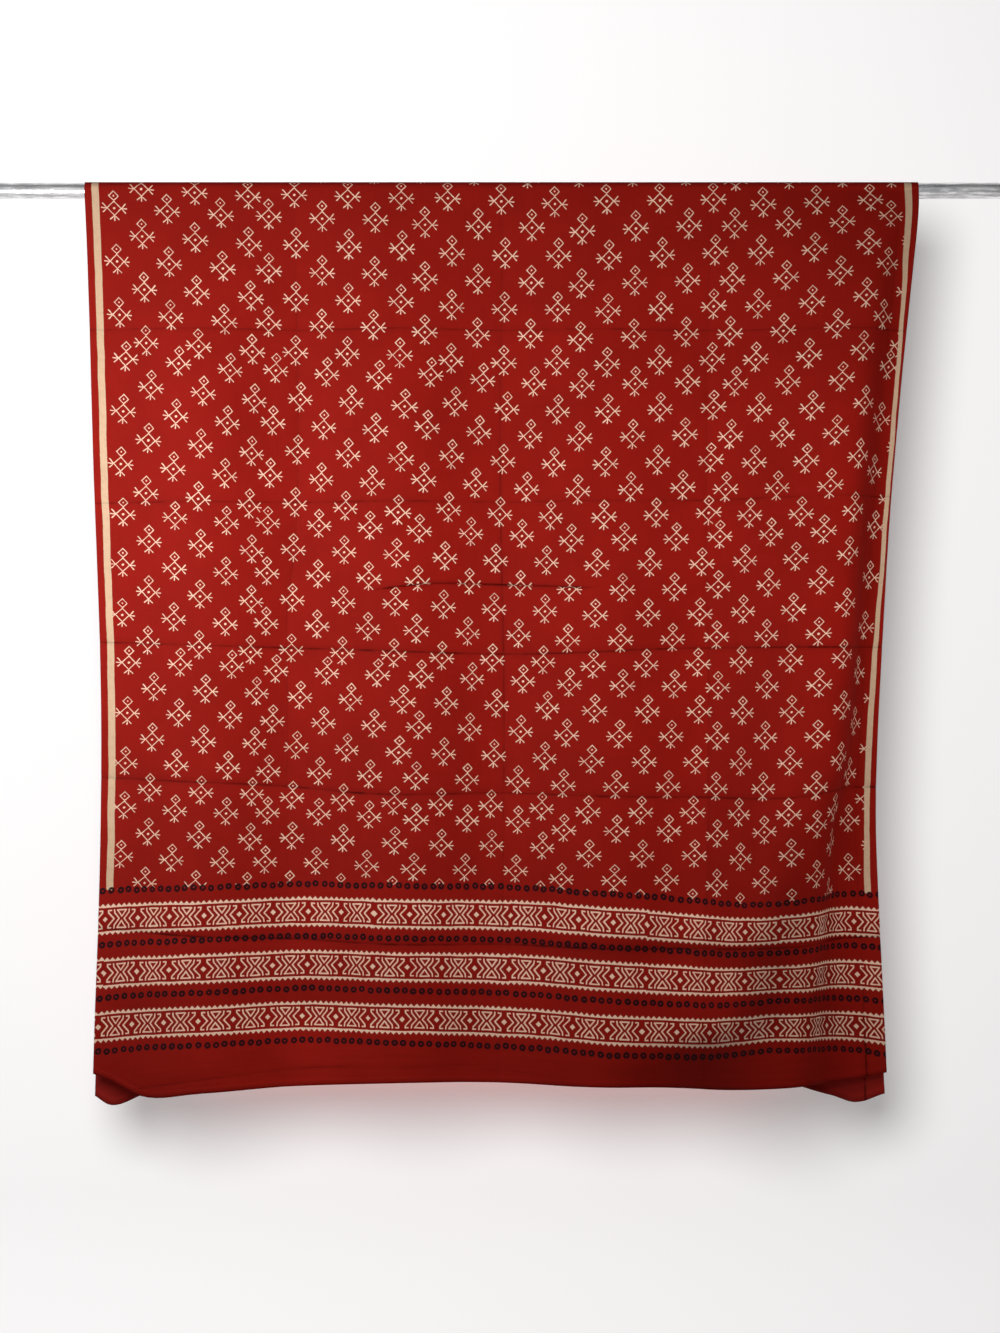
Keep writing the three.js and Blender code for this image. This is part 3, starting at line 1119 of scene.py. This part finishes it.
# Drawn steel: grey streaks and scuffs run along the tube.
def makeSteel():
    material, tree = newMaterial("drawnSteel")
    where = worked("TexCoord", {}, "Object", tree)

    def drawnOut(share, size, detail):
        stretched = worked("Mapping", {"Scale": (share, 1, 1), "Vector": where})
        return noiseOf(stretched, size, detail, 0.65)

    lines = drawnOut(*tube["lines"])
    scuffs = drawnOut(*tube["scuffs"])
    worn = ramped(lines.line(tube["lineWear"], scuffs), *tube["wornFrom"])
    low, high = tube["roughness"]
    bump = worked("Bump", {
        "Strength": tube["bump"], "Distance": tube["bumpDistance"],
        "Height": scuffs.line(tube["scuffHeight"], lines)})
    steel = worked("BsdfPrincipled", {
        "Base Color": mixed(worn, tube["bright"], tube["worn"]), "Metallic": 1.0,
        "Roughness": worn.line(high - low, low), "Normal": bump})
    newNode(tree, "OutputMaterial", {"Surface": steel})
    return material


def makeRod():
    bm = bmesh.new()
    bmesh.ops.create_cone(
        bm, segments=tube["sides"], radius1=rodRadius, radius2=rodRadius,
        depth=rodHigh.x - rodLow.x, cap_ends=True, cap_tris=False,
        matrix=Matrix.Rotation(math.pi / 2, 4, "Y"))
    ends = [face for face in bm.faces if len(face.verts) > 4]
    rims = [edge for edge in bm.edges if any(face in ends for face in edge.link_faces)]
    bmesh.ops.bevel(bm, geom=rims, offset=tube["chamfer"],
                    segments=tube["chamferSteps"], profile=0.5, affect="EDGES", material=-1)
    for rim, depth in ((tube["wall"] - tube["chamfer"], 0), (tube["plugRim"], -tube["plugDepth"])):
        ends = [face for face in bm.faces if len(face.verts) > 4]
        bmesh.ops.inset_region(bm, faces=ends, thickness=rim, depth=depth)
    # Rings round the tube keep its long faces well shaped.
    for i in range(1, tube["rings"]):
        x = rodLow.x + i * (rodHigh.x - rodLow.x) / tube["rings"]
        bmesh.ops.bisect_plane(
            bm, geom=bm.verts[:] + bm.edges[:] + bm.faces[:], plane_co=(x, 0, 0), plane_no=(1, 0, 0))
    for face in bm.faces:
        face.smooth = abs(face.normal.x) < 0.5
    return madeObject(bm, "steelRod", makeSteel())


steelRod = makeRod()
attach(steelRod, "root")
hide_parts("rod")
print("rod made")


studio = {
    "wallBehind": 0.17,
    "floor": -1.75,
    "sweepRadius": 0.45,
    "sweepSteps": 16,
    "halfWidth": 4.0,
    "front": -4.5,
    "top": 2.6,
    "paint": (0.80, 0.79, 0.79),
    "roughness": 0.9,
    "glow": (0.160, 0.156, 0.156),
    "sky": 0.075,
    "skyColour": (1.0, 0.985, 0.98, 1),
    "overhead": (0.35, 0.8),  # from where it darkens, and from where it is darkest
    "reflectedLow": 0.85,  # what the steel mirrors straight ahead, and overhead
    "reflectedHigh": 0.36,
    "reflectedLeaning": -1.0,  # how much brighter it is towards the left
}


# A pale floor that sweeps up behind the rod. From behind it lets the view through.
def makeSweep():
    bm = bmesh.new()
    start = bm.verts.new((-studio["halfWidth"], studio["front"], studio["floor"]))
    radius = studio["sweepRadius"]
    points = [(studio["wallBehind"] - radius, studio["floor"])]
    for i in range(1, studio["sweepSteps"] + 1):
        turn = math.pi / 2 * i / studio["sweepSteps"]
        points.append((studio["wallBehind"] - radius + radius * math.sin(turn),
                       studio["floor"] + radius - radius * math.cos(turn)))
    points.append((studio["wallBehind"], studio["top"]))
    last, edges = start, []
    for y, z in points:
        vert = bm.verts.new((-studio["halfWidth"], y, z))
        edges.append(bm.edges.new((last, vert)))
        last = vert
    made = bmesh.ops.extrude_edge_only(bm, edges=edges)
    moved = [item for item in made["geom"] if isinstance(item, bmesh.types.BMVert)]
    bmesh.ops.translate(bm, verts=moved, vec=(2 * studio["halfWidth"], 0, 0))
    bmesh.ops.recalc_face_normals(bm, faces=bm.faces[:])
    if sum(face.normal.z * face.calc_area() for face in bm.faces) < 0:
        bmesh.ops.reverse_faces(bm, faces=bm.faces[:])
    for face in bm.faces:
        face.smooth = True
    material, tree = newMaterial("palePaint")
    paint = worked("BsdfPrincipled", {
        "Base Color": (*studio["paint"], 1), "Roughness": studio["roughness"],
        "Emission Color": (*studio["glow"], 1), "Emission Strength": 1.0}, tree=tree)
    newNode(tree, "OutputMaterial", {"Surface": clearBehind(tree, paint)})
    material.cycles.emission_sampling = "NONE"
    sweep = madeObject(bm, "studioSweep", material)
    for ray in ("shadow", "diffuse", "transmission"):
        setattr(sweep, "visible_" + ray, False)
    return sweep


studioSweep = makeSweep()

lights = {
    # place, aim, size, spread in degrees, power, what it lights, what shades it
    "frontLeft": ((-0.80, -1.00, -0.40), (-0.60, 0, -0.40), 0.4, 110, 4.05, "hung", "hung"),
    "frontMiddle": ((-0.30, -1.00, -0.31), (-0.30, 0, -0.31), 0.5, 180, 4.7, "hung", "hung"),
    "frontRight": ((0.60, -1.30, -0.39), (0.30, 0, -0.39), 0.4, 90, 2.15, "hung", "hung"),
    "rightFill": ((1.60, -1.20, -0.70), (0.42, 0, -0.72), 0.5, 40, 0.3, "hung", "hung"),
    "behind": ((-0.90, 2.40, -0.30), (0, 0, -0.60), 1.5, 180, 18, "hung", "hung"),
    "wallWash": ((-2.20, -2.60, 0.20), (-1.20, 0, -0.20), 1.5, 180, 34, "wall", "wall"),
    "wallShade": ((-0.55, -3.10, 0.30), (0, 0, -0.85), 1.6, 180, 95, "wall", "cloth"),
    "wallLow": ((1.60, -2.00, -1.90), (1.30, 0, -1.50), 1.2, 180, 7, "wall", "wall"),
    "redTint": ((-0.02, 0.12, -1.05), (-0.02, 1, -1.05), 0.76, 180, 0.42, "wall", "wall"),
}
tint = {"height": 0.14, "colour": (1.0, 0.11, 0.07)}  # the cloth reddens the wall below its hem
groupsOfPieces = {"hung": [dupatta, steelRod], "cloth": [dupatta], "wall": [studioSweep]}
lightGroups = {}
for name, pieces in groupsOfPieces.items():
    lightGroups[name] = bpy.data.collections.new(name)
    for piece in pieces:
        lightGroups[name].objects.link(piece)
for name, (place, aim, size, spread, power, lit, shadedBy) in lights.items():
    lamp = bpy.data.lights.new(name, "AREA")
    lamp.shape = "DISK"
    lamp.size = size
    lamp.spread = math.radians(spread)
    lamp.energy = power
    lampObject = bpy.data.objects.new(name, lamp)
    lampObject.location = place
    lampObject.rotation_euler = (Vector(aim) - Vector(place)).to_track_quat("-Z", "Y").to_euler()
    lampObject.visible_camera = False
    lampObject.visible_glossy = name == "frontLeft"
    lampObject.light_linking.receiver_collection = lightGroups[lit]
    lampObject.light_linking.blocker_collection = lightGroups[shadedBy]
    bpy.context.scene.collection.objects.link(lampObject)
    if name == "redTint":
        lamp.shape = "RECTANGLE"
        lamp.size_y = tint["height"]
        lamp.color = tint["colour"]


# A dim even room, which the steel mirrors as brighter ahead and darker overhead.
def makeRoom():
    room = bpy.data.worlds.new("softRoom")
    room.use_nodes = True
    tree = room.node_tree
    tree.nodes.clear()
    sky = {"Color": studio["skyColour"], "Strength": studio["sky"]}
    sideways, upwards = parts(worked("TexCoord", {}, "Generated", tree), "XZ")
    height = ramped(upwards, *studio["overhead"], studio["reflectedLow"], studio["reflectedHigh"])
    leaning = sideways.line(studio["reflectedLeaning"], 1.0)
    mirrored = worked("Background", {"Strength": height * leaning})
    reflects = worked("LightPath", {}, "Is Glossy Ray", tree)
    seen = mixedShaders(reflects, worked("Background", sky, tree=tree), mirrored)
    newNode(tree, "OutputWorld", {"Surface": seen})
    return room


bpy.context.scene.world = makeRoom()
bpy.context.scene.view_settings.view_transform = "Standard"

camera = bpy.data.objects.new("camera", bpy.data.cameras.new("camera"))
camera.location = (-0.0019, -3.2117, -0.6005)
camera.rotation_euler = (math.pi / 2, 0, 0)
camera.data.sensor_width = 36
camera.data.lens = 68.72
bpy.context.scene.collection.objects.link(camera)
bpy.context.scene.camera = camera
print("studio ready")
